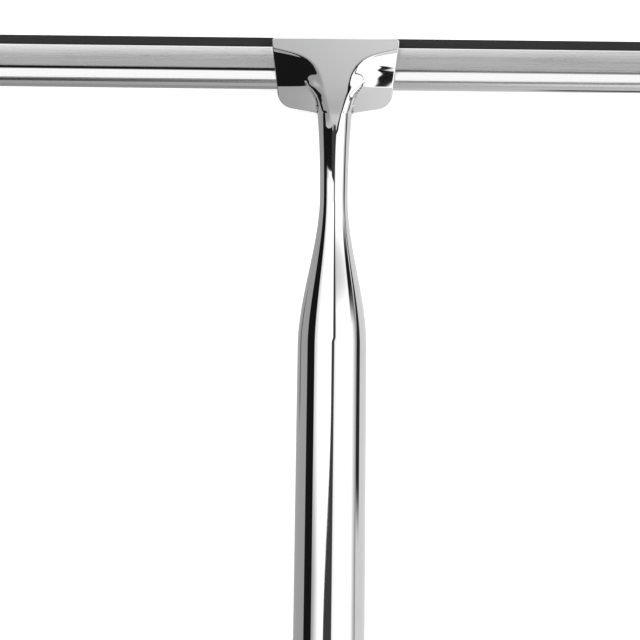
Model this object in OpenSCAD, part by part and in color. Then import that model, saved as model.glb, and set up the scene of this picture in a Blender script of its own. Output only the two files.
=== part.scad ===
// Shower squeegee, lying face up: the blade runs along X, the handle along -Y.
// Built from the wiper's tip: s is the distance back from the tip, along the handle.

/* [Blade] */
// Length of the channel and of the wiper rubber
blade_len = 250; // [160:1:400]
// How far the rubber lip stands out of the channel
lip_depth = 3; // [2:0.1:6]
// Depth of the channel's flat flanges
flange_depth = 7.4; // [5:0.1:12]
// Thickness of the channel across its flanges
flange_t = 3; // [2.6:0.1:4.4]
// Outside diameter of the round bead along the channel
bead_d = 7; // [6.4:0.1:9]
// Wall of the folded channel
channel_wall = 0.8; // [0.6:0.05:1]

/* [Wiper] */
// Gap between the rubber and the channel, all round
wiper_gap = 0.1; // [0.05:0.01:0.15]
// Thickness of the lip at its wiping edge
lip_tip_t = 0.9; // [0.6:0.1:1.2]
// Depth of the hole in each end of the bulb
bulb_hole_depth = 7; // [6:0.5:12]
// Diameter of that hole
bulb_hole_d = 2.6; // [2:0.1:3]

/* [End clips] */
// Thickness of a clip's sheet
clip_t = 0.7; // [0.5:0.1:1.2]
// How far a clip reaches over the channel
clip_reach = 6; // [4:0.5:12]
// Gap between a clip and the channel
clip_gap = 0.1; // [0.05:0.01:0.2]
// Length of the clip's pin in the bulb
clip_pin_len = 6; // [4:0.5:6]

/* [Head] */
// Width of the head at the blade's edge
head_w = 42; // [34:0.5:60]
// Width of the head at its lower corners
head_foot_w = 38; // [32:0.5:56]
// Depth of the head behind the bead, where the screws pass
head_foot_depth = 7.7; // [7:0.1:12]
// How far the head stays behind the wiper's tip
head_setback = 0.2; // [0.1:0.1:2]
// Radius of the head's corners at the blade's edge
head_tip_corner = 1.3; // [0.5:0.1:3]
// Radius of the head's lower corners
head_foot_corner = 5.5; // [3:0.5:8]
// Slope of the head's lower edge towards the neck
head_foot_rise = 1.4; // [0.5:0.1:3]
// Height of the front above the head's middle, at the blade's edge
front_tip_half = 8.2; // [7:0.1:10]
// Height of the front over its fold, behind the bead
front_fold_half = 4.9; // [4.7:0.1:6]
// Height of the front at its lower edge
front_foot_half = 1.4; // [1:0.1:3]
// Height of the front web at the blade's edge
web_tip_half = 9; // [8:0.1:11]
// Height of the front web where it runs into the neck
web_foot_half = 6; // [5.8:0.1:8]
// Depth of the back jaw at the blade's edge
back_tip_half = 3.2; // [2.6:0.1:4]
// Depth of the back jaw over the bead
back_half = 5.6; // [5.2:0.1:7]
// Gap between the head and its back jaw
jaw_gap = 0.3; // [0.2:0.1:0.8]
// How much smaller the back jaw's outline is
jaw_inset = 0.3; // [0.1:0.1:1]

/* [Jaw screws] */
// Distance between the two screws
screw_spacing = 23; // [18:0.5:26]
// Diameter of the screw's shank
screw_d = 3; // [2.5:0.5:3]
// Diameter of the screw's head
screw_head_d = 5.2; // [4.6:0.1:5.4]
// Length of a screw
screw_len = 7.5; // [7:0.1:8]
// Width across the flats of the key's socket in a screw
socket_w = 2; // [1.5:0.1:2.5]

/* [Handle] */
// Diameter of the neck where it leaves the head
root_d = 11.4; // [10:0.1:14]
// Diameter of the neck at its narrowest
neck_d = 9.2; // [8:0.1:12]
// Place of the narrowest neck, back from the tip
neck_s = 52; // [45:1:60]
// Place of the grip's shoulder, back from the tip
shoulder_s = 102; // [90:1:120]
// Diameter of the grip at its shoulder
shoulder_d = 22.8; // [20:0.1:28]
// Diameter of the grip at its foot
grip_d = 24; // [22:0.1:29]
// Place of the grip's foot, back from the tip
grip_s = 228; // [190:1:280]
// Diameter of the hollow in the grip
bore_d = 17; // [14:0.5:18]
// Solid metal left between the shoulder and the hollow
bore_start = 8; // [4:1:30]

/* [End cap] */
// Length of the domed end
cap_len = 8; // [6:0.5:12]
// Diameter of the flat land at the dome's tip
cap_land_d = 8; // [7.6:0.1:10]
// Wall at the dome's tip
cap_wall = 3; // [2:0.5:4]
// Length of the spigot inside the grip
spigot_len = 12; // [9:0.5:20]
// Diameter of the spigot's own hollow
spigot_bore_d = 11; // [10:0.5:12]
// Gap between the spigot and the grip
spigot_gap = 0.05; // [0.02:0.01:0.1]
// Width of the seal
seal_w = 2; // [1.5:0.1:3]
// Depth of the seal's groove in the spigot
seal_depth = 1; // [0.8:0.1:1.2]

/* [Hanging eye and ring] */
// Thickness of the eye's rim
eye_rim_d = 2.2; // [1.8:0.1:3]
// Diameter of the eye's hole
eye_hole_d = 4; // [3.6:0.1:6]
// Diameter of the eye's collar on the cap
collar_d = 6.8; // [6:0.1:7.4]
// Thickness of that collar
collar_t = 1.4; // [1:0.1:2]
// Diameter of the eye's shank
shank_d = 4; // [3:0.5:4]
// Thickness of the washer inside the cap
washer_t = 0.8; // [0.5:0.1:1.2]
// Diameter of that washer
washer_d = 9; // [8:0.5:9.5]
// Thickness of the nut
nut_t = 2.4; // [2:0.1:3.2]
// Width of the nut across its flats
nut_w = 7; // [6.5:0.5:7]
// Diameter of the ring, to the middle of its wire
ring_d = 19; // [17:0.5:30]
// Thickness of the ring's wire
ring_wire_d = 2.4; // [2:0.1:3]

/* [Hidden] */
$fn = 48;
eps = 0.5;          // how far a cut runs past the face that it opens
thread_gap = 0.05;  // between a thread and its hole
floor_gap = 0.05;   // the ring's far side clears the table by this

// blade
bead_r = bead_d / 2;
flange_half = flange_t / 2;
bead_s = lip_depth + flange_depth + sqrt(bead_r * bead_r - flange_half * flange_half);
web_slot_half = flange_half - channel_wall;
bulb_r = bead_r - channel_wall - wiper_gap;
web_half_t = web_slot_half - wiper_gap;
groove_gap = 0.05;  // the jaws close on the flanges and clear the bead by this

// head
jaw_half_gap = jaw_gap / 2;
head_len = bead_s + bead_r + head_foot_depth;  // from the wiper's tip to the neck
screw_wall = 0.6;   // metal left between the bead's groove and a screw's head
screw_s = bead_s + bead_r + groove_gap + screw_head_d / 2 + screw_wall;
screw_sink = 0.3;   // how far a screw's head lies under the jaw's face
cone_len = 1.4;     // length of the cone under a screw's head
socket_depth = 1.6;
fold_s = bead_s + bead_r - 0.8;
edge_cut = 1.5;     // the slope along the back jaw's lower edge
sheet_s = lip_depth + 1.5;
web_curve_r = 19;   // radius of the hollow sides of the front web
web_root_cut = 0.6; // how far those hollows cut into the neck's width

// handle
grip_r = grip_d / 2;
bore_s = shoulder_s + bore_start;
profile_step = 2;

// cap, eye and ring
cap_s = grip_s + cap_len;
spigot_s = grip_s - spigot_len;
spigot_r = bore_d / 2 - spigot_gap;
seal_s = grip_s - spigot_len / 2;
inner_face_s = cap_s - cap_wall;
eye_loop_r = (eye_hole_d + eye_rim_d) / 2;
eye_sink = 0.5;     // how far the eye's rim runs into its collar
eye_s = cap_s + collar_t + eye_loop_r + eye_rim_d / 2 - eye_sink;
shank_end_s = inner_face_s - washer_t - nut_t - 1;
ring_r = ring_d / 2;
ring_wire_r = ring_wire_d / 2;
ring_tilt = asin((grip_r - ring_wire_r - floor_gap) / ring_d);

// the whole squeegee: the origin is under its middle, on the surface that it lies on
total_len = eye_s + ring_d * cos(ring_tilt) + ring_wire_r;

function smooth(t) = t * t * (3 - 2 * t);
function mix(a, b, t) = a + (b - a) * t;
function arc(x, y, r, from, to, steps = 8) =
    [for (i = [0:steps]) let(a = mix(from, to, i / steps)) [x + r * cos(a), y + r * sin(a)]];

// radius of the neck and grip at a distance s from the tip
function handle_r(s) =
    s < neck_s ? neck_d / 2 + (root_d - neck_d) / 2 * pow((neck_s - s) / (neck_s - head_len), 2)
    : s < shoulder_s ? mix(neck_d, shoulder_d, smooth((s - neck_s) / (shoulder_s - neck_s))) / 2
    : mix(shoulder_d, grip_d, (s - shoulder_s) / (grip_s - shoulder_s)) / 2;

module place() translate([0, total_len / 2, grip_r]) children();

// a solid of revolution about the handle's axis, from points [radius, s]
module turned(points) rotate([90, 0, 0]) rotate_extrude($fn = 64) polygon(points);

// a rod or a hole along the handle's axis, from s = from to s = to
module rod(r, from, to) translate([0, -from, 0]) rotate([90, 0, 0]) cylinder(r = r, h = to - from);

// a section drawn as [s, z], run along X and centred
module across(length) rotate([90, 0, -90]) linear_extrude(length, center = true) children();

// the channel's keyhole section, grown by g and reaching from s = from
module keyhole(g, from) {
    translate([bead_s, 0]) circle(r = bead_r + g);
    translate([from, -flange_half - g]) square([bead_s - from, flange_t + 2 * g]);
}

// the head seen from the front, drawn as [x, -s]
module head_outline(inset) {
    w = head_w / 2 - inset;
    f = head_foot_w / 2 - inset;
    tip = -head_setback - inset;
    foot = -head_len + inset;
    half = concat(
        arc(w - head_tip_corner, tip - head_tip_corner, head_tip_corner, 90, 0),
        arc(f - head_foot_corner, foot + head_foot_rise + head_foot_corner, head_foot_corner, 0, -80),
        [[root_d / 2, foot]]);
    polygon(concat(half, [for (i = [len(half) - 1:-1:0]) [-half[i][0], half[i][1]]]));
}

// the front's height, drawn as [s, z]
module front_side() polygon([[0, jaw_half_gap], [0, front_tip_half], [sheet_s, front_tip_half],
    [fold_s, front_fold_half], [head_len, front_foot_half], [head_len + eps, front_foot_half],
    [head_len + eps, jaw_half_gap]]);

// the back jaw's depth, drawn the same way and mirrored later
module back_side() polygon([[0, jaw_half_gap], [0, back_tip_half], [lip_depth + 3, back_half],
    [head_len - edge_cut, back_half], [head_len, back_half - edge_cut], [head_len, jaw_half_gap]]);

module head_block(height, inset) intersection() {
    linear_extrude(height) head_outline(inset);
    across(head_w + 1) children();
}

// the triangular web that spreads from the neck to the full width of the head
module front_web() {
    top = head_w / 2 - head_tip_corner;
    root = root_d / 2;
    intersection() {
        linear_extrude(web_tip_half) difference() {
            polygon([[-top, -head_setback], [top, -head_setback], [root, -head_len],
                     [-root, -head_len]]);
            for (side = [-1, 1])
                translate([side * (root + web_curve_r - web_root_cut), -head_len])
                    circle(r = web_curve_r);
        }
        across(head_w)
            polygon([[0, 0], [0, web_tip_half - 0.5], [0.5, web_tip_half], [sheet_s, web_tip_half - 0.5],
                     [head_len, web_foot_half], [head_len, 0]]);
    }
}

module screw_places() for (side = [-1, 1])
    translate([side * screw_spacing / 2, -screw_s, -back_half]) children();

module handle_casting() place() color("gainsboro") difference() {
    union() {
        head_block(front_tip_half, 0) front_side();
        front_web();
        turned(concat([[0, head_len - 6], [handle_r(head_len), head_len - 6]],
                      [for (s = [head_len:profile_step:shoulder_s]) [handle_r(s), s]],
                      [[handle_r(grip_s), grip_s], [0, grip_s]]));
    }
    across(head_w + 2) keyhole(groove_gap, -1);
    translate([-head_w, -head_len, jaw_half_gap - 20]) cube([2 * head_w, 2 * head_len, 20]);
    screw_places() cylinder(d = screw_d + 2 * thread_gap, h = screw_len + 2 * thread_gap);
    rod(bore_d / 2, bore_s, grip_s + eps);
}

module back_jaw() place() color("gainsboro") difference() {
    mirror([0, 0, 1]) head_block(back_half, jaw_inset) back_side();
    across(head_w + 2) keyhole(groove_gap, -1);
    screw_places() {
        cylinder(d = screw_d + 0.4, h = back_half + eps);
        translate([0, 0, -eps]) cylinder(d = screw_head_d + 0.2, h = eps + screw_sink);
        translate([0, 0, screw_sink]) cylinder(d1 = screw_head_d + 0.2, d2 = screw_d, h = cone_len + 0.1);
    }
}

module jaw_screws() place() color("silver") screw_places() difference() {
    union() {
        translate([0, 0, screw_sink]) cylinder(d1 = screw_head_d, d2 = screw_d, h = cone_len);
        translate([0, 0, screw_sink]) cylinder(d = screw_d, h = screw_len - screw_sink);
    }
    cylinder(d = socket_w / cos(30), h = socket_depth + screw_sink, $fn = 6);
}

module blade_channel() place() color("lightgray") across(blade_len) difference() {
    keyhole(0, lip_depth);
    translate([bead_s, 0]) circle(r = bead_r - channel_wall);
    translate([lip_depth - eps, -web_slot_half])
        square([bead_s - lip_depth + eps, 2 * web_slot_half]);
}

module wiper_rubber() place() color("#26262a") difference() {
    union() {
        translate([0, -bead_s, 0]) rotate([0, 90, 0])
            cylinder(r = bulb_r, h = blade_len, center = true);
        across(blade_len)
            polygon([[0, -lip_tip_t / 2], [0, lip_tip_t / 2], [lip_depth, web_half_t],
                     [bead_s, web_half_t], [bead_s, -web_half_t], [lip_depth, -web_half_t]]);
    }
    for (side = [-1, 1]) translate([side * blade_len / 2, -bead_s, 0]) rotate([0, 90, 0])
        cylinder(d = bulb_hole_d, h = 2 * bulb_hole_depth, center = true);
}

// the clip at the channel's right end; the left one is its mirror image
module end_clip(pin_gap) {
    from = lip_depth + 1;
    translate([blade_len / 2, 0, 0]) {
        translate([clip_t / 2, 0, 0]) across(clip_t) keyhole(clip_gap + clip_t, from);
        translate([-clip_reach / 2, 0, 0]) across(clip_reach) difference() {
            keyhole(clip_gap + clip_t, from);
            keyhole(clip_gap, from - eps);
        }
        translate([-clip_pin_len, -bead_s, 0]) rotate([0, 90, 0])
            cylinder(d = bulb_hole_d - 2 * pin_gap, h = clip_pin_len + clip_t / 2);
    }
}

module left_clip() place() color("silver") mirror([1, 0, 0]) end_clip(0.1);
module right_clip() place() color("silver") end_clip(0);

module end_cap() place() color("gainsboro") difference() {
    land_r = cap_land_d / 2;
    turned(concat([[0, spigot_s], [spigot_r, spigot_s], [spigot_r, grip_s]],
                  [for (a = [0:9:90]) [land_r + (grip_r - land_r) * cos(a), grip_s + cap_len * sin(a)]],
                  [[0, cap_s]]));
    rod(spigot_bore_d / 2, spigot_s - eps, inner_face_s);
    rod(shank_d / 2 + 0.1, inner_face_s - eps, cap_s + eps);
    turned([[spigot_r - seal_depth, seal_s], [bore_d, seal_s], [bore_d, seal_s + seal_w],
            [spigot_r - seal_depth, seal_s + seal_w]]);
}

module cap_seal() place() color("#26262a")
    turned([[spigot_r - seal_depth, seal_s], [bore_d / 2, seal_s], [bore_d / 2, seal_s + seal_w],
            [spigot_r - seal_depth, seal_s + seal_w]]);

module hanging_eye() place() color("silver") {
    rod(shank_d / 2, shank_end_s, cap_s + eye_sink);
    rod(collar_d / 2, cap_s, cap_s + collar_t);
    translate([0, -eye_s, 0]) rotate([0, 90, 0]) rotate_extrude()
        translate([eye_loop_r, 0]) circle(d = eye_rim_d);
}

module eye_washer() place() color("silver") difference() {
    rod(washer_d / 2, inner_face_s - washer_t, inner_face_s);
    rod(shank_d / 2 + 0.2, inner_face_s - washer_t - eps, inner_face_s + eps);
}

module eye_nut() place() color("silver") difference() {
    rod_end = inner_face_s - washer_t;
    translate([0, nut_t - rod_end, 0]) rotate([90, 0, 0]) cylinder(d = nut_w / cos(30), h = nut_t, $fn = 6);
    rod(shank_d / 2 + thread_gap, rod_end - nut_t - eps, rod_end + eps);
}

// the ring hangs from the eye down to the surface that the squeegee lies on
module hanging_ring() place() color("silver")
    translate([0, -eye_s, 0]) rotate([ring_tilt, 0, 0]) translate([0, -ring_r, 0])
        rotate_extrude($fn = 64) translate([ring_r, 0]) circle(r = ring_wire_r);

handle_casting();
blade_channel();
wiper_rubber();
back_jaw();
jaw_screws();
left_clip();
right_clip();
end_cap();
cap_seal();
hanging_eye();
eye_washer();
eye_nut();
hanging_ring();
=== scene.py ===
import math
import bpy
import bmesh
import numpy as np
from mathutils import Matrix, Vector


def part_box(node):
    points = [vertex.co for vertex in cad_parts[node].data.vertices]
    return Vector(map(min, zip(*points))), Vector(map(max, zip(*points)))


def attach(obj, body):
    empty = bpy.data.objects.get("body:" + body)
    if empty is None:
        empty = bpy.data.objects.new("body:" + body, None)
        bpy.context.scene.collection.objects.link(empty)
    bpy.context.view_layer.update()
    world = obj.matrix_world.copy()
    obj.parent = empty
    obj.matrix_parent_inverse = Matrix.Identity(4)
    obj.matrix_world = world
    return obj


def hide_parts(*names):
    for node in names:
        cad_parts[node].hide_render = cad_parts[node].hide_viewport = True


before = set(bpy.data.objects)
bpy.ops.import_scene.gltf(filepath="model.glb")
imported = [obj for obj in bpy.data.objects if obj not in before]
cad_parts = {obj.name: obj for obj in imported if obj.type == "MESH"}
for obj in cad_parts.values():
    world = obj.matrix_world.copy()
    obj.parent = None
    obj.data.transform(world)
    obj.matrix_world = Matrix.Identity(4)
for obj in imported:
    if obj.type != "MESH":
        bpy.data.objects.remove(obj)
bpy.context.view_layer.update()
mm = 0.001

# places that every piece shares: s counts back from the wiper's edge, in mm, and z is up
# from the handle's axis
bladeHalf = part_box("blade_channel")[1][0] / mm
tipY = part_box("wiper_rubber")[1][1]
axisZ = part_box("end_cap")[0][2] / 2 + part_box("end_cap")[1][2] / 2
gripR = (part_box("end_cap")[1][2] - axisZ) / mm
footS = (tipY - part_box("handle_casting")[0][1]) / mm
beadSet = {"s": 13.562, "radius": 3.5, "lipS": 3.0, "half": 1.5, "wall": 0.8, "gap": 0.1}
screwSet = {"s": 20.3123, "half": 11.5, "sink": 0.3, "length": 7.5, "headR": 2.6, "shankR": 1.5,
            "cone": 1.4, "socket": 1.0, "socketDepth": 1.6, "pitch": 0.5, "tooth": 0.12, "easing": 0.1}
backHalf = 5.6


def place(x, s, z):
    x, s, z = np.broadcast_arrays(x, s, z)
    return np.stack([x * mm, tipY - s * mm, axisZ + z * mm], axis=-1).reshape(-1, 3)


def linked(name, mesh):
    piece = bpy.data.objects.new(name, mesh)
    bpy.context.collection.objects.link(piece)
    return piece


def meshPiece(name, points, faces, smoothAngle=35):
    mesh = bpy.data.meshes.new(name)
    mesh.from_pydata([tuple(p) for p in points], [], faces)
    piece = linked(name, mesh)
    tidy(piece, smoothAngle)
    return piece


def tidy(piece, smoothAngle=35):
    # merge doubles, face outwards, smooth
    mesh = piece.data
    work = bmesh.new()
    work.from_mesh(mesh)
    bmesh.ops.remove_doubles(work, verts=work.verts, dist=0.0005 * mm)
    bmesh.ops.recalc_face_normals(work, faces=work.faces)
    work.to_mesh(mesh)
    work.free()
    mesh.polygons.foreach_set("use_smooth", [True] * len(mesh.polygons))
    mesh.set_sharp_from_angle(angle=math.radians(smoothAngle))


def applied(piece, smoothAngle=35):
    # the piece with its modifiers turned into plain mesh
    graph = bpy.context.evaluated_depsgraph_get()
    mesh = bpy.data.meshes.new_from_object(piece.evaluated_get(graph))
    piece.modifiers.clear()
    piece.data = mesh
    tidy(piece, smoothAngle)
    return piece


def carve(piece, tools, operation="DIFFERENCE", smoothAngle=35):
    for tool in tools:
        modifier = piece.modifiers.new("carve", "BOOLEAN")
        modifier.operation = operation
        modifier.solver = "EXACT"
        modifier.object = tool
    applied(piece, smoothAngle)
    for tool in tools:
        bpy.data.objects.remove(tool)
    return piece


def grid(rows, columns, base=0, wrap=False):
    last = columns if wrap else columns - 1
    return [(base + r * columns + c, base + r * columns + (c + 1) % columns,
             base + (r + 1) * columns + (c + 1) % columns, base + (r + 1) * columns + c)
            for r in range(rows - 1) for c in range(last)]


def loft(name, rings, smoothAngle=35):
    # skin over closed rings of points, with a flat lid on each end
    count = len(rings[0])
    faces = grid(len(rings), count, wrap=True)
    faces += [tuple(range(count)), tuple((len(rings) - 1) * count + i for i in range(count))]
    return meshPiece(name, np.concatenate(rings), faces, smoothAngle)


def around(steps):
    # the cosines and sines of equal steps round a circle
    angles = np.linspace(0, 2 * math.pi, steps, endpoint=False)
    return np.cos(angles), np.sin(angles)


def turned(name, profile, steps=96, smoothAngle=35):
    # a closed profile of (radius, s) turned about the handle's axis
    cosines, sines = around(steps)
    rings = [place(r * cosines, s, r * sines) for r, s in profile]
    faces = grid(len(rings) + 1, steps, wrap=True)
    total = len(rings) * steps
    faces = [tuple(i % total for i in face) for face in faces]
    return meshPiece(name, np.concatenate(rings), faces, smoothAngle)


def drill(x, s, profile, steps):
    # a tool for a hole through z, with a profile of (radius, z)
    cosines, sines = around(steps)
    return loft("drill", [place(x + r * cosines, s + r * sines, z) for r, z in profile])


def skins(name, x, s, upper, lower, flip=False):
    # a front and a back over one grid, joined round the edge
    rows, columns = x.shape
    count = rows * columns
    under = grid(rows, columns, base=count)
    faces = grid(rows, columns) + ([tuple(reversed(face)) for face in under] if flip else under)
    for row in (0, rows - 1):
        start = row * columns
        faces += [(start + i, start + i + 1, count + start + i + 1, count + start + i)
                  for i in range(columns - 1)]
    for side in (0, columns - 1):
        faces += [(j * columns + side, (j + 1) * columns + side, count + (j + 1) * columns + side,
                   count + j * columns + side) for j in range(rows - 1)]
    return meshPiece(name, np.concatenate([place(x, s, upper), place(x, s, lower)]), faces)


def arc(centreA, centreB, radius, start, end, steps=8):
    angles = np.radians(np.linspace(start, end, steps))
    return [(centreA + radius * math.cos(a), centreB + radius * math.sin(a)) for a in angles]


def hand(piece, nodeName, body, material):
    # name what the piece stands for, what it rides on and its finish
    piece.data.materials.clear()
    piece.data.materials.append(material)
    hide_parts(nodeName)
    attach(piece, body)
    return piece


# camera, straight above and a little rolled
cameraSet = {"height": 2.5, "viewWidth": 0.2112, "centreX": -4.1, "centreS": 93, "roll": 0.65}


def makeCamera():
    data = bpy.data.cameras.new("camera")
    camera = linked("camera", data)
    data.sensor_width = 36
    data.lens = 36 * cameraSet["height"] / cameraSet["viewWidth"]
    data.clip_end = 20
    camera.location = (cameraSet["centreX"] * mm, tipY - cameraSet["centreS"] * mm,
                       axisZ + cameraSet["height"])
    camera.rotation_euler = (0, 0, math.radians(cameraSet["roll"]))
    bpy.context.scene.camera = camera


makeCamera()
print("camera placed")


class Value:  # a node's socket with Python's own operators
    def __init__(self, tree, socket):
        self.tree = tree
        self.socket = socket

    def math(self, operation, *others, clamp=False):
        node = self.tree.nodes.new("ShaderNodeMath")
        node.operation = operation
        node.use_clamp = clamp
        for slot, value in zip(node.inputs, (self,) + others):
            if isinstance(value, Value):
                self.tree.links.new(value.socket, slot)
            else:
                slot.default_value = value
        return Value(self.tree, node.outputs[0])

    def __add__(self, other):
        return self.math("ADD", other)

    def __sub__(self, other):
        return self.math("SUBTRACT", other)

    def __mul__(self, other):
        return self.math("MULTIPLY", other)

    def __truediv__(self, other):
        return self.math("DIVIDE", other)

    def __rsub__(self, other):
        return self.math("MULTIPLY", -1).math("ADD", other)

    __radd__ = __add__
    __rmul__ = __mul__

    def rise(self, low, high):  # 0 below low, 1 above high, smooth between
        part = (self - low).math("DIVIDE", high - low, clamp=True)
        return part * part * (3 - 2 * part)

    def within(self, low, high, soft):
        return self.rise(low - soft, low + soft) * (1 - self.rise(high - soft, high + soft))


class Nodes:
    def __init__(self, tree):
        self.tree = tree
        tree.nodes.clear()

    def node(self, kind, settings=None, inputs=None):
        made = self.tree.nodes.new(kind)
        for name, value in (settings or {}).items():
            setattr(made, name, value)
        for name, value in (inputs or {}).items():
            if isinstance(value, Value):
                self.tree.links.new(value.socket, made.inputs[name])
            else:
                made.inputs[name].default_value = value
        return made

    def value(self, kind, settings=None, inputs=None, output=0):
        return self.out(self.node(kind, settings, inputs), output)

    def out(self, made, output=0):
        return Value(self.tree, made.outputs[output])


# studio light: what the chrome mirrors, as bands of angle about the handle (turn) and along it (lean)
studioSet = {"white": 1.75, "slot": 0.055, "slotTurn": (-20, 9, 1), "slotLean": (-7.5, -6.5), "black": 0.012,
             "pale": (0.96, 0.96, 0.96, 1)}
windowSet = {
    "above": (3, 6), "slotWide": 18, "slotNarrows": (-1.9, -0.1), "slotAt": 2, "slotShift": 4.5, "slotSoft": 1.5,
    "leftFrom": (-62, -60), "leftDim": 0.3, "leftLift": 0.3, "leftLiftLean": (-1.6, -0.1),
    "leftGlow": 0.7, "leftGlowTurn": (-62, -30), "leftLean": (-2.6, -2.1),
    "rightShift": 4, "rightWide": 18, "rightNarrows": (-9, -3), "rightFrom": (6, 9), "rightDim": 0.8,
    "rightGlow": 0.2, "rightGlowTurn": (9, 24), "sideFade": 0.75, "sideTurn": (66, 92), "cornerTurn": (66, 72),
    "cornerLean": (8, 18), "topFade": 0.45, "topLean": (16, 24), "rightLean": (-28, -26),
    "highTurn": (-70, 70, 8), "highLean": (24, 32), "highFade": 0.6, "fadeTurn": (-22, 22, 6),
    "fadeLean": (34, 62, 5)}
bandSet = {
    "from": 12, "wide": 52, "narrows": (-12, -9), "soft": (-2, 2), "to": (9, 13), "foot": (-26, -24),
    "top": (-7.5, -6.5), "grey": 0.3, "lift": 0.2, "liftLean": (-18, -11), "dim": 0.88, "glow": 0.24,
    "glowTurn": (-4, 4)}
# the leaf lies between two sloping edges, each (slope, offset)
halfSet = {
    "leafTop": (1.46, 57.4), "leafFoot": (0.79, 36.4), "leafSoft": (0, 0.5), "leafLean": (-42, -33.7, 0.2),
    "leafTurn": (4.5, 14, 0.5), "foot": (-42, -40), "top": (-30, -28), "middle": (-2, 4), "edgeDim": 0.3,
    "edgeGlow": 0.25, "edgeTurn": (-9, 9)}


def windows(turn, lean):
    # level with the camera and above: a window on each side of a dark slot that narrows towards the blade
    c = windowSet
    above = lean.rise(*c["above"])
    slotLow = -c["slotWide"] * (1 - lean.rise(*c["slotNarrows"])) - c["slotAt"] + above * c["slotShift"]
    pastSlot = (turn - slotLow).rise(-c["slotSoft"], c["slotSoft"])
    leftFade = c["leftDim"] + c["leftLift"] * lean.rise(*c["leftLiftLean"])
    leftFade = leftFade + c["leftGlow"] * turn.rise(*c["leftGlowTurn"])
    left = turn.rise(*c["leftFrom"]) * (1 - pastSlot) * leftFade
    right = turn - above * c["rightShift"] - c["rightWide"] * (1 - lean.rise(*c["rightNarrows"]))
    right = right.rise(*c["rightFrom"]) * (c["rightDim"] + c["rightGlow"] * turn.rise(*c["rightGlowTurn"]))
    right = right * (1 - turn.rise(*c["sideTurn"]) * c["sideFade"])
    right = right * (1 - lean.rise(*c["cornerLean"]) * turn.rise(*c["cornerTurn"]))
    right = right * (1 - c["topFade"] * lean.rise(*c["topLean"]))
    high = turn.within(*c["highTurn"]) * lean.rise(*c["highLean"])
    high = high * (1 - c["highFade"] * (1 - turn.within(*c["fadeTurn"])) * lean.within(*c["fadeLean"]))
    return left * lean.rise(*c["leftLean"]) + right * lean.rise(*c["rightLean"]) + high


def greyBand(turn, lean):
    # towards the grip: a grey band
    c = bandSet
    grey = (turn + c["from"] + c["wide"] * (1 - lean.rise(*c["narrows"]))).rise(*c["soft"])
    grey = grey * (1 - turn.rise(*c["to"])) * lean.rise(*c["foot"]) * (1 - lean.rise(*c["top"]))
    grey = grey * (c["grey"] + c["lift"] * lean.rise(*c["liftLean"]))
    return grey * (c["dim"] + c["glow"] * turn.rise(*c["glowTurn"]))


def darkAndWhite(turn, lean):
    # below the band: one half black and one half white, with a dark leaf in the white, then the paper's edge
    c = halfSet
    top, foot = ((turn - slope * lean - offset).rise(*c["leafSoft"]) for slope, offset in (
        c["leafTop"], c["leafFoot"]))
    leaf = top * (1 - foot) * lean.within(*c["leafLean"]) * turn.within(*c["leafTurn"])
    halves = lean.rise(*c["foot"]) * (1 - lean.rise(*c["top"])) * (1 - leaf)
    edge = (c["edgeDim"] + c["edgeGlow"] * turn.rise(*c["edgeTurn"])) * (1 - lean.rise(*c["foot"]))
    return turn.rise(*c["middle"]) * halves + edge


def makeStudio():
    c = studioSet
    world = bpy.data.worlds.new("studio")
    bpy.context.scene.world = world
    world.use_nodes = True
    nodes = Nodes(world.node_tree)
    direction = nodes.value("ShaderNodeTexCoord")
    axes = nodes.node("ShaderNodeSeparateXYZ", inputs={0: direction})
    x, y, z = (nodes.out(axes, n) for n in range(3))
    turn = x.math("ARCTAN2", z) * math.degrees(1)
    lean = y.math("ARCSINE") * math.degrees(1)
    sky = windows(turn, lean) + greyBand(turn, lean) + darkAndWhite(turn, lean)
    sky = sky.math("MINIMUM", 1.0) * c["white"]
    slot = turn.within(*c["slotTurn"]) * lean.rise(*c["slotLean"]) * c["slot"]
    room = nodes.value("ShaderNodeBackground", inputs={"Color": sky + slot + c["black"]})
    pale = nodes.value("ShaderNodeBackground", inputs={"Color": c["pale"]})
    mix = nodes.value("ShaderNodeMixShader", inputs={
        0: nodes.value("ShaderNodeLightPath"), 1: room, 2: pale})
    nodes.node("ShaderNodeOutputWorld", inputs={0: mix})


# strips are (from, to, softness), along the blade and back from the wiper's edge
floorSet = {"size": 8.0, "colour": (0.8, 0.8, 0.8, 1), "glow": 0.55, "lamp": 26.0, "lampSize": 4.0,
            "lampAt": (0.1, -0.1, 2.2), "leftShade": 0.5, "rightShade": 0.94, "middle": 0.01,
            "darkStrip": 0.03, "rightX": (0.06, 0.08), "rightBack": (0.16, 0.035, 0.012), "leftStrip": 0.85,
            "leftX": (-0.033, -0.028, 0.002), "leftBack": (0.125, 0.08, 0.008), "falloff": 0.75,
            "far": (0.35, 1.3)}


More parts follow.
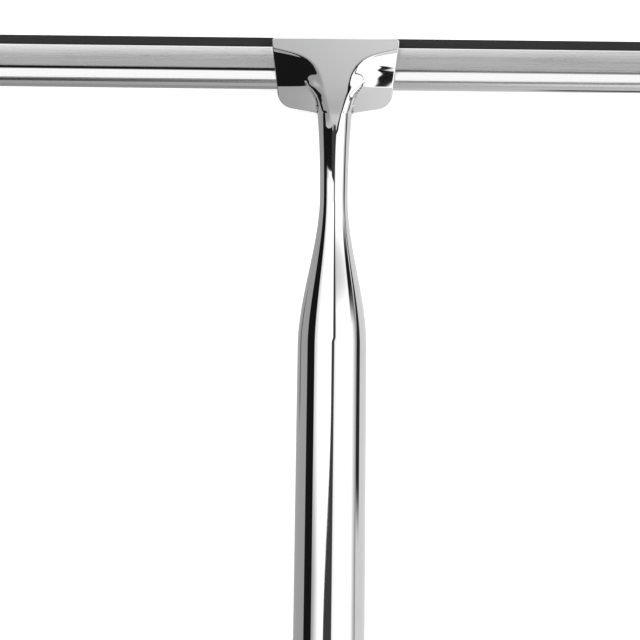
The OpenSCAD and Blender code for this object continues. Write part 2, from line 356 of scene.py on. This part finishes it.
def makeFloor():
    c = floorSet
    half = c["size"] / 2
    mesh = bpy.data.meshes.new("floor")
    corners = [(-half, -half, 0), (half, -half, 0), (half, half, 0), (-half, half, 0)]
    mesh.from_pydata(corners, [], [(0, 1, 2, 3)])
    floor = linked("floor", mesh)
    material = bpy.data.materials.new("paper")
    material.use_nodes = True
    nodes = Nodes(material.node_tree)
    axes = nodes.node("ShaderNodeSeparateXYZ", inputs={
        0: nodes.value("ShaderNodeTexCoord", output="Object")})
    x, y = nodes.out(axes, 0), nodes.out(axes, 1)
    # what the chrome mirrors of the paper: shaded on the left, with a dark strip on each side
    side = x.rise(-c["middle"], c["middle"])
    right, left = (y.within(tipY - high, tipY - low, soft) for high, low, soft in (
        c["rightBack"], c["leftBack"]))
    strip = x.rise(*c["rightX"]) * right + c["leftStrip"] * x.within(*c["leftX"]) * left
    shade = c["leftShade"] * (1 - side) + c["rightShade"] * side
    shade = shade * (1 - strip) + c["darkStrip"] * strip
    far = (x * x + y * y).math("SQRT").rise(*c["far"])
    mirrored = nodes.value("ShaderNodeEmission", inputs={"Color": shade * (1 - c["falloff"] * far)})
    paper = nodes.value("ShaderNodeBsdfDiffuse", inputs={"Color": c["colour"]})
    glow = nodes.value("ShaderNodeEmission", inputs={"Strength": c["glow"]})
    lit = nodes.value("ShaderNodeAddShader", inputs={0: paper, 1: glow})
    mix = nodes.value("ShaderNodeMixShader", inputs={
        0: nodes.value("ShaderNodeLightPath", output="Is Glossy Ray"), 1: lit, 2: mirrored})
    nodes.node("ShaderNodeOutputMaterial", inputs={0: mix})
    mesh.materials.append(material)
    # a broad lamp that lights the paper and shows in no reflection
    lamp = bpy.data.lights.new("overhead", "AREA")
    lamp.shape = "SQUARE"
    lamp.size = c["lampSize"]
    lamp.energy = c["lamp"]
    overhead = linked("overhead", lamp)
    overhead.location = c["lampAt"]
    overhead.visible_glossy = False
    overhead.visible_camera = False


makeStudio()
makeFloor()
bpy.context.scene.view_settings.view_transform = "Standard"
print("studio lit")


# finishes
def finish(name):
    material = bpy.data.materials.new(name)
    material.use_nodes = True
    nodes = Nodes(material.node_tree)
    return material, nodes, nodes.value("ShaderNodeTexCoord", output="Object")


def noise(nodes, vector, scale, detail=2.0):
    return nodes.value("ShaderNodeTexNoise", inputs={"Vector": vector, "Scale": scale, "Detail": detail})


def stretched(nodes, vector, scale):
    # the coordinates squeezed unevenly, for brush marks
    return nodes.value("ShaderNodeMapping", inputs={"Vector": vector, "Scale": scale})


def between(nodes, factor, first, second):
    # a colour between two
    return nodes.value("ShaderNodeMix", {"data_type": "RGBA"}, {0: factor, 6: first, 7: second}, 2)


def surface(nodes, inputs):
    nodes.node("ShaderNodeOutputMaterial", inputs={0: nodes.value("ShaderNodeBsdfPrincipled", inputs=inputs)})


def chromeFinish(name, settings):
    # polished metal with faint smears and the odd fine wipe mark
    material, nodes, where = finish(name)
    smear = noise(nodes, where, settings["smearScale"], 4.0).rise(0.52, 0.75)
    haze = noise(nodes, where, settings["hazeScale"])
    wipe = noise(nodes, stretched(nodes, where, settings["wipeStretch"]), 1.0).rise(0.62, 0.8)
    rough = settings["roughness"] + smear * settings["smear"]
    rough = rough + haze * settings["haze"] + wipe * settings["wipe"]
    bump = nodes.value("ShaderNodeBump", inputs={"Height": haze, "Strength": 0.01, "Distance": 0.02 * mm})
    surface(nodes, {"Base Color": between(nodes, smear, settings["colour"], settings["smeared"]),
                    "Metallic": 1.0, "Roughness": rough, "Normal": bump})
    return material


def brushedFinish(name, settings, fold=None):
    # satin metal with brush marks; fold describes a dark line of painted shade along the fold, stronger on the
    # left, past which it is polished
    material, nodes, where = finish(name)
    marks = noise(nodes, stretched(nodes, where, settings["stretch"]), 1.0, 3.0)
    broad = noise(nodes, where, settings["broadScale"])
    rough = settings["roughness"] + (marks - 0.5) * settings["marks"] + (broad - 0.5) * settings["broad"]
    height = marks
    colour = between(nodes, marks.rise(0.3, 0.7), settings["dark"], settings["light"])
    if fold:
        axes = nodes.node("ShaderNodeSeparateXYZ", inputs={0: where})
        x, y = nodes.out(axes, 0), nodes.out(axes, 1)
        s = (tipY - y) / mm
        bead = s.rise(fold["s"] - fold["half"], fold["s"] + fold["half"])
        # painted shade: the fold's crease is coloured dark, more on the left than on the right
        paintedShade = s.within(fold["s"] - fold["half"], fold["s"] + fold["half"], fold["soft"])
        paintedShade = paintedShade * (fold["right"] + (fold["left"] - fold["right"]) * (1 - x.rise(-0.02, 0.05)))
        rough = rough * (1 - bead) + settings["polished"] * bead
        height = marks * (1 - bead)
        colour = between(nodes, bead, colour, settings["bead"])
        colour = between(nodes, paintedShade, colour, fold["paintedShade"])
    bump = nodes.value("ShaderNodeBump", inputs={"Height": height, "Strength": settings["bump"],
                                                 "Distance": 0.01 * mm})
    surface(nodes, {"Base Color": colour, "Metallic": 1.0, "Roughness": rough, "Normal": bump})
    return material


def rubberFinish(name, settings):
    # black rubber with moulding grain and pale dust
    material, nodes, where = finish(name)
    grain = noise(nodes, where, settings["grainScale"], 3.0)
    dust = noise(nodes, stretched(nodes, where, settings["dustStretch"]), 1.0, 3.0).rise(0.5, 0.8)
    bump = nodes.value("ShaderNodeBump", inputs={"Height": grain, "Strength": 0.25, "Distance": 0.03 * mm})
    surface(nodes, {"Base Color": between(nodes, dust, settings["colour"], settings["dusty"]),
                    "Specular IOR Level": 0.35, "Normal": bump,
                    "Roughness": settings["roughness"] + 0.2 * (grain - 0.5) + 0.1 * dust})
    return material


castChrome = chromeFinish("castChrome", {
    "colour": (0.64, 0.64, 0.645, 1), "smeared": (0.62, 0.62, 0.62, 1), "roughness": 0.015, "smear": 0.02,
    "haze": 0.012, "wipe": 0.02, "smearScale": 60, "hazeScale": 900, "wipeStretch": (900, 60, 900)})
capChrome = chromeFinish("capChrome", {
    "colour": (0.63, 0.63, 0.635, 1), "smeared": (0.6, 0.6, 0.6, 1), "roughness": 0.03, "smear": 0.03,
    "haze": 0.02, "wipe": 0.03, "smearScale": 90, "hazeScale": 1100, "wipeStretch": (700, 700, 80)})
ringSteel = chromeFinish("ringSteel", {
    "colour": (0.6, 0.6, 0.6, 1), "smeared": (0.55, 0.55, 0.55, 1), "roughness": 0.07, "smear": 0.05,
    "haze": 0.04, "wipe": 0.06, "smearScale": 140, "hazeScale": 1500, "wipeStretch": (1500, 200, 200)})
eyeSteel = chromeFinish("eyeSteel", {
    "colour": (0.61, 0.61, 0.61, 1), "smeared": (0.55, 0.55, 0.55, 1), "roughness": 0.05, "smear": 0.04,
    "haze": 0.03, "wipe": 0.05, "smearScale": 160, "hazeScale": 1500, "wipeStretch": (300, 1800, 300)})
# the fold's dark colour on the channel is painted shade along its crease
channelSteel = brushedFinish("channelSteel", {
    "dark": (0.56, 0.56, 0.56, 1), "light": (0.65, 0.65, 0.65, 1), "bead": (0.52, 0.52, 0.52, 1),
    "roughness": 0.28, "marks": 0.12, "broad": 0.06, "polished": 0.12, "stretch": (25, 4500, 4500),
    "broadScale": 40, "bump": 0.15}, fold={
    "s": 10.55, "half": 0.5, "soft": 0.2, "left": 0.93, "right": 0.15, "paintedShade": (0.03, 0.03, 0.03, 1)})
clipSteel = brushedFinish("clipSteel", {
    "dark": (0.42, 0.42, 0.42, 1), "light": (0.55, 0.55, 0.55, 1), "roughness": 0.25, "marks": 0.15,
    "broad": 0.08, "stretch": (2500, 60, 2500), "broadScale": 90, "bump": 0.2})
screwSteel = brushedFinish("screwSteel", {
    "dark": (0.38, 0.38, 0.38, 1), "light": (0.56, 0.56, 0.55, 1), "roughness": 0.3, "marks": 0.2,
    "broad": 0.1, "stretch": (2200, 2200, 300), "broadScale": 400, "bump": 0.3})
wiperRubber = rubberFinish("wiperRubber", {
    "colour": (0.006, 0.006, 0.0065, 1), "dusty": (0.014, 0.014, 0.0145, 1), "roughness": 0.62,
    "grainScale": 1500, "dustStretch": (30, 900, 900)})
sealRubber = rubberFinish("sealRubber", {
    "colour": (0.016, 0.016, 0.017, 1), "dusty": (0.05, 0.05, 0.05, 1), "roughness": 0.42,
    "grainScale": 2500, "dustStretch": (500, 500, 500)})
print("finishes mixed")


# Geometry Nodes: a tree of named inputs, run on a profile and turned into plain mesh
def geometryTree(name, sizes):
    tree = bpy.data.node_groups.new(name, "GeometryNodeTree")
    nodes = Nodes(tree)
    tree.interface.new_socket("Geometry", in_out="INPUT", socket_type="NodeSocketGeometry")
    for size, kind in sizes.items():
        tree.interface.new_socket(size, in_out="INPUT", socket_type="NodeSocket" + kind)
    tree.interface.new_socket("Geometry", in_out="OUTPUT", socket_type="NodeSocketGeometry")
    given = nodes.node("NodeGroupInput")
    return tree, nodes, {socket.name: Value(tree, socket) for socket in given.outputs if socket.name}


def endTree(nodes, geometry, material):
    real = nodes.value("GeometryNodeRealizeInstances", inputs={0: geometry})
    painted = nodes.value("GeometryNodeSetMaterial", inputs={"Geometry": real, "Material": material})
    nodes.node("NodeGroupOutput", inputs={0: painted})


def run(tree, piece, values, smoothAngle=35):
    modifier = piece.modifiers.new(tree.name, "NODES")
    modifier.node_group = tree
    ids = {item.name: item.identifier for item in tree.interface.items_tree if item.in_out == "INPUT"}
    for name, value in values.items():
        modifier[ids[name]] = value
    return applied(piece, smoothAngle)


def bladeSweep():
    # sweeps a section along the blade, from one end to the other
    tree, nodes, given = geometryTree("blade sweep", {
        "Half length": "Float", "Tip": "Float", "Axis": "Float", "Joints": "Int", "Material": "Material"})
    section = nodes.value("GeometryNodeMeshToCurve", inputs={0: given["Geometry"]})
    ends = [nodes.value("ShaderNodeCombineXYZ", inputs={0: x, 1: given["Tip"], 2: given["Axis"]})
            for x in (given["Half length"] * -1, given["Half length"])]
    line = nodes.value("GeometryNodeCurvePrimitiveLine", inputs={"Start": ends[0], "End": ends[1]})
    line = nodes.value("GeometryNodeResampleCurve", inputs={"Curve": line, "Count": given["Joints"]})
    swept = nodes.value("GeometryNodeCurveToMesh", inputs={
        "Curve": line, "Profile Curve": section, "Fill Caps": True})
    endTree(nodes, swept, given["Material"])
    return tree


sweepTree = bladeSweep()


def alongBlade(name, section, half, material=None, joints=21):
    # section holds (s, z) in mm, in order round the outline
    mesh = bpy.data.meshes.new(name)
    count = len(section)
    edges = [(i, (i + 1) % count) for i in range(count)]
    mesh.from_pydata([(s * mm, -z * mm, 0) for s, z in section], edges, [])
    return run(sweepTree, linked(name, mesh), {
        "Half length": half * mm, "Tip": tipY, "Axis": axisZ, "Joints": joints, "Material": material})


# the channel: a folded flange and a bead that leans over a little towards its foot
channelSet = {
    "fold": 10.42, "crease": [(-0.56, 0), (-0.2, 0.12), (0, 0.3), (0.12, 0.1)],
    "bead": [(10.62, 1.55), (10.8, 1.95), (11.2, 2.33), (12, 2.72), (13, 3.1), (13.6, 3.27),
             (14, 3.29), (14.4, 3.2), (15.35, 2.86), (15.9, 2.47), (16.4, 1.98), (16.8, 1.25),
             (17, 0.5), (17.06, 0)]}


def beadCurve(steps=56):
    # the outline through those points with its corners rounded off
    s, z = np.array(channelSet["bead"]).T
    s = np.concatenate([s, s[-2:-5:-1]])
    z = np.concatenate([z, -z[-2:-5:-1]])
    length = np.concatenate([[0], np.cumsum(np.hypot(np.diff(s), np.diff(z)))])
    fine = np.linspace(0, length[-1], 600)
    kernel = np.hanning(47) / np.hanning(47).sum()
    s, z = (np.convolve(np.pad(np.interp(fine, length, line), 23, mode="edge"), kernel, mode="valid")
            for line in (s, z))
    foot = np.argmax(z < 0)
    pick = np.linspace(0, foot - 1, steps).astype(int)
    return list(zip(s[pick], z[pick])) + [(s[foot], 0.0)]


def keyhole(grow, fromS, steps=24):
    # plain keyhole outline, for the groove in the jaws
    radius, half = beadSet["radius"] + grow, beadSet["half"] + grow
    start = 180 - math.degrees(math.asin(half / radius))
    return [(fromS, half)] + arc(beadSet["s"], 0, radius, start, -start, steps) + [(fromS, -half)]


def makeChannel():
    lip, half, wall = beadSet["lipS"], beadSet["half"], beadSet["wall"]
    innerR = beadSet["radius"] - wall
    outer = arc(lip + wall / 2, half - wall / 2, wall / 2, 180, 90, 8)
    outer += [(channelSet["fold"] + ahead, half - down) for ahead, down in channelSet["crease"]]
    outer += beadCurve()
    inner = arc(beadSet["s"], 0, innerR, 0, 180 - math.degrees(math.asin((half - wall) / innerR)), 24)
    inner += [(lip + wall / 2, half - wall)]
    section = outer + [(s, -z) for s, z in reversed(outer)][1:]
    inside = [(s, -z) for s, z in reversed(inner)] + inner[1:]
    piece = alongBlade("channel", section + inside, bladeHalf, channelSteel)
    return hand(piece, "blade_channel", "squeegee", channelSteel)


# the wiper: a thin lip, a web and a bulb that slides in the bead
wiperSet = {"lipHalf": 0.45, "edge": 0.12, "holeR": 1.3, "holeDepth": 7}


def makeWiper():
    gap = beadSet["gap"]
    webHalf = beadSet["half"] - beadSet["wall"] - gap
    bulbR = beadSet["radius"] - beadSet["wall"] - gap
    edge, lipHalf = wiperSet["edge"], wiperSet["lipHalf"]
    start = 180 - math.degrees(math.asin(webHalf / bulbR))
    side = arc(edge, lipHalf - edge, edge, 180, 90, 5)
    side += [(beadSet["lipS"], webHalf)] + arc(beadSet["s"], 0, bulbR, start, 0, 28)
    section = side + [(s, -z) for s, z in reversed(side)][1:]
    piece = alongBlade("wiper", section, bladeHalf, wiperRubber)
    cosines, sines = around(24)
    across, up = beadSet["s"] + wiperSet["holeR"] * cosines, wiperSet["holeR"] * sines
    carve(piece, [loft("hole", [place(side * (bladeHalf + reach), across, up)
                                for reach in (1, -wiperSet["holeDepth"])]) for side in (-1, 1)])
    return hand(piece, "wiper_rubber", "wiper", wiperRubber)


makeChannel()
makeWiper()
print("blade made")


# the casting: head, neck and grip in one skin
castingSet = {
    "neckR": 4.6, "rootR": 5.7, "neckS": 52, "shoulderS": 102, "shoulderR": 11.4, "headLen": 24.76,
    "headHalf": 21, "footHalf": 19, "tipCorner": 1.3, "footCorner": 5.5, "footRise": 1.4, "setback": 0.2,
    "parting": 0.15, "foldS": 16.2, "foldZ": 5.0, "pocketSlope": 0.345, "pocketBend": 0.0023,
    "lipSlope": 0.43, "crown": 0.7, "sheetCrown": 0.25, "edgeR": 0.45, "crease": 0.12,
    "pocketReach": 2.6, "pocketEdge": 0.35, "boreR": 8.5, "boreS": 110, "holeR": 1.55, "holeTop": 2.0}
# the front sheet: its slope, and the half-widths of its flat middle and its root, down the handle
sheetSlope = [(0, 0.125), (15, 0.135), (24, 0.15), (26, 0.12), (28, 0.075), (31, 0.06),
              (36, 0.05), (43, 0.037), (50, 0)]
sheetFlat = [(-1, 24), (2.5, 23), (4, 21), (4.8, 16.5), (5.8, 12.5), (7.2, 9.3), (9.2, 7.1), (12, 5.6),
             (16.6, 4.1), (19, 3.2), (21, 2.7), (23.7, 2.0), (26, 1.3), (29, 0.4), (31, 0), (60, 0)]
sheetRoot = [(14, 9.4), (15.8, 9.0), (16.6, 8.6), (17.5, 7.9), (19.1, 6.9), (21, 6.3),
             (23.7, 5.75), (25.2, 5.66)]


def smoothRise(t):
    t = np.clip(t, 0, 1)
    return t * t * (3 - 2 * t)


def handleRadius(s):
    c = castingSet
    flare = c["neckR"] + (c["rootR"] - c["neckR"]) * ((c["neckS"] - s) / (c["neckS"] - c["headLen"])) ** 2
    risen = smoothRise((s - c["neckS"]) / (c["shoulderS"] - c["neckS"]))
    swell = c["neckR"] + (c["shoulderR"] - c["neckR"]) * risen
    taper = c["shoulderR"] + (gripR - c["shoulderR"]) * (s - c["shoulderS"]) / (footS - c["shoulderS"])
    return np.where(s < c["neckS"], flare, np.where(s < c["shoulderS"], swell, taper))


def headOutline(inset=0):
    # half-width against s down the head's side, ending at the neck
    c = castingSet
    wide, foot, end = c["headHalf"] - inset, c["footHalf"] - inset, c["headLen"] - inset
    corner = arc(wide - c["tipCorner"], -c["setback"] - inset - c["tipCorner"], c["tipCorner"], 90, 0, 12)
    corner += arc(foot - c["footCorner"], c["footRise"] + c["footCorner"] - end, c["footCorner"], 0, -80, 24)
    corner += [(c["rootR"] + 1.2, 0.25 - end), (c["rootR"] + 0.3, -end), (c["rootR"], -end - 0.4)]
    return np.array([(half, -back) for half, back in corner]).T


def smoothTable(table, s, spread=1.4):
    # a table of (s, value) with its corners rounded off
    fine = np.arange(-6, 70, 0.1)
    rough = np.interp(fine, *zip(*table))
    kernel = np.hanning(int(spread * 20) + 3)
    soft = np.convolve(np.pad(rough, len(kernel) // 2, mode="edge"), kernel / kernel.sum(), mode="valid")
    return np.interp(s, fine, soft[:len(fine)])


def ridgeHeight(s):
    fine = np.arange(-1, 50.05, 0.05)
    slope = smoothTable(sheetSlope, fine, 2)
    height = castingSet["neckR"] + np.cumsum(slope[::-1])[::-1] * 0.05
    return np.where(s < 50, np.interp(s, fine, height), handleRadius(s))


def lowerHeight(ax, s):
    # the head's front beside the sheet: pockets above a fold, lips below it
    c = castingSet
    past = s - c["foldS"]
    pocket = (c["pocketSlope"] + c["pocketBend"] * past) * past
    plane = c["foldZ"] - np.where(past < 0, pocket, c["lipSlope"] * past)
    return np.maximum(plane - c["crown"] * (ax / c["headHalf"]) ** 2, c["parting"] + 0.2)


def frontHeight(x, s):
    c = castingSet
    ax = np.abs(x)
    flat = smoothTable(sheetFlat, s)
    ridge = ridgeHeight(s)
    radius = handleRadius(s)
    step = (smoothTable(sheetFlat, s + 0.1) - smoothTable(sheetFlat, s - 0.1)) / 0.2
    past = np.maximum(ax - flat, 0)
    slant = c["crease"] * np.logaddexp(0, (ax - flat) / np.sqrt(1 + step * step) / c["crease"])
    reach = c["pocketEdge"] + (c["pocketReach"] - c["pocketEdge"]) * smoothRise((s - 5) / 5)
    pocket = np.exp(-slant / reach)
    root = np.where(s < sheetRoot[-1][0], smoothTable(sheetRoot, s, 0.8), radius)
    root = np.maximum(root, flat + 1)
    flank = np.sqrt(np.clip(1 - (past / (root - flat)) ** 2, 0, 1))
    blend = smoothRise((s - 10) / 9)
    drop = pocket + (flank - pocket) * blend
    lower = np.where(s <= c["headLen"], lowerHeight(ax, s), 0)
    lower = lower * smoothRise((c["headLen"] + 0.4 - s) / 1.2)
    ridge = ridge - c["sheetCrown"] * (ax / c["headHalf"]) ** 2
    return lower + (ridge - lower) * drop


def makeCasting():
    c = castingSet
    outline = headOutline()
    s = np.concatenate([
        np.linspace(c["setback"], 1.0, 12)[:-1], np.linspace(1.0, 9, 44)[:-1], np.linspace(9, 18, 40)[:-1],
        np.linspace(18, 24.4, 40)[:-1], np.linspace(24.4, 25.3, 14)[:-1], np.linspace(25.3, 52, 44)[:-1],
        np.linspace(52, 104, 50)[:-1], np.linspace(104, footS, 8)])
    columns = 121
    across = np.sin(np.radians(np.linspace(-90, 90, columns)))
    halfWidth = np.where(s > outline[1][-1], handleRadius(s), np.interp(s, outline[1], outline[0]))
    wide = halfWidth[:, None] * across[None, :]
    back = np.repeat(s[:, None], columns, axis=1)
    front = frontHeight(wide, back)
    # the rim is rounded a little, at the sides and at the blade's edge
    rim = np.minimum(halfWidth[:, None] - np.abs(wide), back - c["setback"])
    rim = c["edgeR"] - np.clip(rim, 0, c["edgeR"])
    rounding = c["edgeR"] - np.sqrt(c["edgeR"] ** 2 - rim ** 2)
    front = front - rounding * (back < c["headLen"] - 0.5)
    radius = handleRadius(back)
    circle = np.sqrt(np.maximum(radius ** 2 - wide ** 2, 0))
    atEdge = (np.abs(across)[None, :] > 0.9999) & (back > c["headLen"])
    front = np.where(atEdge, np.minimum(front, 0), front)
    lower = np.where(back <= c["headLen"], c["parting"], -circle)
    piece = skins("casting", wide, back, front, lower, flip=True)
    # the blade's groove, the screw holes and the hollow in the grip
    tools = [alongBlade("groove", keyhole(0.05, -1), c["headHalf"] + 2, joints=2)]
    hole = [(c["holeR"], -1), (c["holeR"], c["holeTop"])]
    tools += [drill(side * screwSet["half"], screwSet["s"], hole, 32) for side in (-1, 1)]
    cosines, sines = around(32)
    tools.append(loft("bore", [place(c["boreR"] * cosines, s, c["boreR"] * sines)
                               for s in (c["boreS"], footS + 1)]))
    carve(piece, tools)
    return hand(piece, "handle_casting", "squeegee", castChrome)


makeCasting()
print("casting made")


# the back jaw: a flat-backed plate with a softened rim and two countersunk holes
jawSet = {"inset": 0.3, "tipZ": 3.2, "fullS": 6.0, "rimR": 1.2, "columns": 81}


def makeJaw():
    c = jawSet
    outline = headOutline(c["inset"])
    start, end = castingSet["setback"] + c["inset"], castingSet["headLen"] - c["inset"]
    s = np.concatenate([np.linspace(start, start + c["rimR"], 14)[:-1],
                        np.linspace(start + c["rimR"], 20, 30)[:-1], np.linspace(20, end - 0.02, 50)])
    across = np.sin(np.radians(np.linspace(-90, 90, c["columns"])))
    halfWidth = np.interp(s, outline[1], outline[0])
    wide = halfWidth[:, None] * across[None, :]
    back = np.repeat(s[:, None], c["columns"], axis=1)
    depth = c["tipZ"] + (backHalf - c["tipZ"]) * smoothRise((back - start) / (c["fullS"] - start))
    foot = np.interp(np.abs(wide), outline[0][::-1][2:-10], outline[1][::-1][2:-10])
    rim = np.minimum(np.minimum(halfWidth[:, None] - np.abs(wide), back - start), foot - back)
    rim = c["rimR"] - np.clip(rim, 0, c["rimR"])
    depth = depth - (c["rimR"] - np.sqrt(c["rimR"] ** 2 - rim ** 2)) * 0.95
    top = np.full_like(depth, -castingSet["parting"])
    piece = skins("jaw", wide, back, -depth, top)
    tools = [alongBlade("groove", keyhole(0.05, -1), castingSet["headHalf"] + 2, joints=2)]
    headR, shankR, low = screwSet["headR"] + 0.1, screwSet["shankR"] + 0.2, screwSet["sink"] - backHalf
    sink = [(headR, -backHalf - 1), (headR, low), (shankR, low + screwSet["cone"]), (shankR, 1)]
    tools += [drill(side * screwSet["half"], screwSet["s"], sink, 48) for side in (-1, 1)]
    carve(piece, tools)
    return hand(piece, "back_jaw", "squeegee", castChrome)


# one screw, set twice by Geometry Nodes
def screwPair():
    tree, nodes, given = geometryTree("screw pair", {
        "Centre": "Vector", "Spacing": "Float", "Count": "Int", "Material": "Material"})
    spacing = nodes.value("ShaderNodeCombineXYZ", inputs={0: given["Spacing"]})
    places = nodes.value("GeometryNodeMeshLine", inputs={
        "Count": given["Count"], "Start Location": given["Centre"], "Offset": spacing})
    screws = nodes.value("GeometryNodeInstanceOnPoints", inputs={"Points": places, "Instance": given["Geometry"]})
    endTree(nodes, screws, given["Material"])
    return tree


def makeScrews():
    c = screwSet
    steps = 48
    angles = np.linspace(0, 2 * math.pi, steps, endpoint=False)
    flats = c["socket"] / np.cos((angles + math.pi / 6) % (math.pi / 3) - math.pi / 6)
    low, floor, easing = c["sink"], c["sink"] + c["socketDepth"], c["easing"]

    def ring(radius, z):
        return np.stack([radius * np.cos(angles) * mm, radius * np.sin(angles) * mm,
                         np.full(steps, (z - backHalf) * mm)], axis=-1)

    # from the socket's floor out over the head, down the cone and along the thread
    rings = [ring(flats * 0.02, floor), ring(flats, floor), ring(flats, low + easing),
             ring(flats + easing, low), ring(c["headR"] - 0.12, low), ring(c["headR"], low + easing),
             ring(c["shankR"], low + c["cone"])]
    crests = np.arange(low + c["cone"] + c["pitch"], c["length"] - 0.3, c["pitch"])
    for z in crests:
        rings += [ring(c["shankR"] - c["tooth"], z - c["pitch"] / 2), ring(c["shankR"], z)]
    rings += [ring(c["shankR"] - 0.3, c["length"]), ring(0.02, c["length"])]
    screw = loft("screws", rings, 30)
    run(screwPair(), screw, {
        "Centre": (-c["half"] * mm, tipY - c["s"] * mm, axisZ), "Spacing": 2 * c["half"] * mm,
        "Count": 2, "Material": screwSteel}, 30)
    return hand(screw, "jaw_screws", "squeegee", screwSteel)


makeJaw()
makeScrews()
print("jaw and screws made")


# small parts that keep the frame's shape with their edges softened
def softened(nodeName, pieceName, width, body, material, segments=3):
    source = bpy.data.objects[nodeName]
    piece = linked(pieceName, source.data.copy())
    work = bmesh.new()
    work.from_mesh(piece.data)
    bmesh.ops.remove_doubles(work, verts=work.verts, dist=0.001 * mm)
    bmesh.ops.dissolve_limit(work, angle_limit=math.radians(1), verts=work.verts, edges=work.edges)
    work.to_mesh(piece.data)
    work.free()
    bevel = piece.modifiers.new("soft edges", "BEVEL")
    bevel.width = width * mm
    bevel.segments = segments
    bevel.limit_method = "ANGLE"
    bevel.angle_limit = math.radians(35)
    applied(piece, 30)
    return hand(piece, nodeName, body, material)


softened("left_clip", "leftClip", 0.18, "squeegee", clipSteel)
softened("right_clip", "rightClip", 0.18, "wiper", clipSteel)
softened("eye_washer", "washer", 0.12, "squeegee", screwSteel)
softened("eye_nut", "nut", 0.2, "squeegee", screwSteel)
softened("cap_seal", "seal", 0.35, "squeegee", sealRubber)
print("clips, washer, nut and seal made")


# the end cap: a dome with a plug that slides into the grip
capSet = {"length": 8.0, "landR": 4.0, "wall": 3.0, "plug": 12.0, "plugR": 8.45, "hollowR": 5.5,
          "holeR": 2.1, "sealW": 2.0, "sealDepth": 1.0, "joint": 0.22, "edge": 0.25,
          "shadowLine": [(0.5, 0), (0.4, 0.6), (0.12, 0.7)]}


def makeCap():
    c = capSet
    end, start, inside = footS + c["length"], footS - c["plug"], footS + c["length"] - c["wall"]
    sealS = footS - c["plug"] / 2
    edge, plugR, hollowR = c["edge"], c["plugR"], c["hollowR"]
    wide, high = gripR - c["landR"], c["length"] - c["joint"]
    profile = [(hollowR, start + edge), (hollowR + edge, start), (plugR - edge, start),
               (plugR, start + edge), (plugR, sealS), (plugR - c["sealDepth"], sealS),
               (plugR - c["sealDepth"], sealS + c["sealW"]), (plugR, sealS + c["sealW"]), (plugR, footS)]
    profile += [(gripR - step, footS + c["joint"] * up) for step, up in c["shadowLine"]]
    profile += [(c["landR"] + wide * math.cos(a), footS + c["joint"] + high * math.sin(a))
                for a in np.radians(np.linspace(0, 90, 32))]
    profile += [(c["holeR"] + edge, end), (c["holeR"], end - edge), (c["holeR"], inside), (hollowR, inside)]
    piece = turned("cap", profile)
    return hand(piece, "end_cap", "squeegee", capChrome)


# the eye: a shank through the cap, a collar and a round loop
eyeSet = {"shankR": 2.0, "shankEnd": 228.8, "collarR": 3.4, "collarT": 1.4, "rimR": 1.1, "holeR": 2.0,
          "sink": 0.5, "ringR": 9.5, "wireR": 1.2, "floorGap": 0.05}
capEndS = footS + capSet["length"]
loopR = eyeSet["holeR"] + eyeSet["rimR"]
eyeS = capEndS + eyeSet["collarT"] + loopR + eyeSet["rimR"] - eyeSet["sink"]


def loopTree():
    # a wire bent into a circle, tilted about X and put in its place
    tree, nodes, given = geometryTree("wire loop", {
        "Loop radius": "Float", "Wire radius": "Float", "Hang": "Vector", "Tilt": "Vector", "Place": "Vector",
        "Material": "Material"})
    loop = nodes.value("GeometryNodeCurvePrimitiveCircle", inputs={
        "Resolution": 96, "Radius": given["Loop radius"]})
    wire = nodes.value("GeometryNodeCurvePrimitiveCircle", inputs={
        "Resolution": 24, "Radius": given["Wire radius"]})
    bent = nodes.value("GeometryNodeCurveToMesh", inputs={"Curve": loop, "Profile Curve": wire})
    hung = nodes.value("GeometryNodeTransform", inputs={"Geometry": bent, "Translation": given["Hang"]})
    done = nodes.value("GeometryNodeTransform", inputs={
        "Geometry": hung, "Rotation": given["Tilt"], "Translation": given["Place"]})
    both = nodes.node("GeometryNodeJoinGeometry")
    nodes.tree.links.new(done.socket, both.inputs[0])
    nodes.tree.links.new(given["Geometry"].socket, both.inputs[0])
    endTree(nodes, nodes.out(both), given["Material"])
    return tree


wireTree = loopTree()


def wireLoop(name, loopR, wireR, hang, tilt, material):
    piece = linked(name, bpy.data.meshes.new(name))
    return run(wireTree, piece, {
        "Loop radius": loopR * mm, "Wire radius": wireR * mm, "Hang": (0, -hang * mm, 0), "Tilt": tilt,
        "Place": (0, tipY - eyeS * mm, axisZ), "Material": material})


def makeEye():
    c = eyeSet
    loop = wireLoop("eye", loopR, c["rimR"], 0, (0, math.pi / 2, 0), eyeSteel)
    end = capEndS + c["collarT"]
    fillet = arc(c["collarR"] - 0.5, end - 0.5, 0.5, 0, 90, 8)
    profile = [(0.02, c["shankEnd"]), (c["shankR"] - 0.3, c["shankEnd"]), (c["shankR"], c["shankEnd"] + 0.3),
               (c["shankR"], capEndS), (c["collarR"] - 0.2, capEndS), (c["collarR"], capEndS + 0.2)]
    profile += fillet + [(1.9, end + 0.05), (1.3, end + 0.3), (0.02, end + 0.5)]
    shank = turned("shank", profile, 64)
    carve(loop, [shank], "UNION", 30)
    return hand(loop, "hanging_eye", "squeegee", eyeSteel)


def makeRing():
    c = eyeSet
    tilt = math.asin((gripR - c["wireR"] - c["floorGap"]) / (2 * c["ringR"]))
    ring = wireLoop("ring", c["ringR"], c["wireR"], c["ringR"], (tilt, 0, 0), ringSteel)
    return hand(ring, "hanging_ring", "ring", ringSteel)


makeCap()
makeEye()
makeRing()
print("cap, eye and ring made")
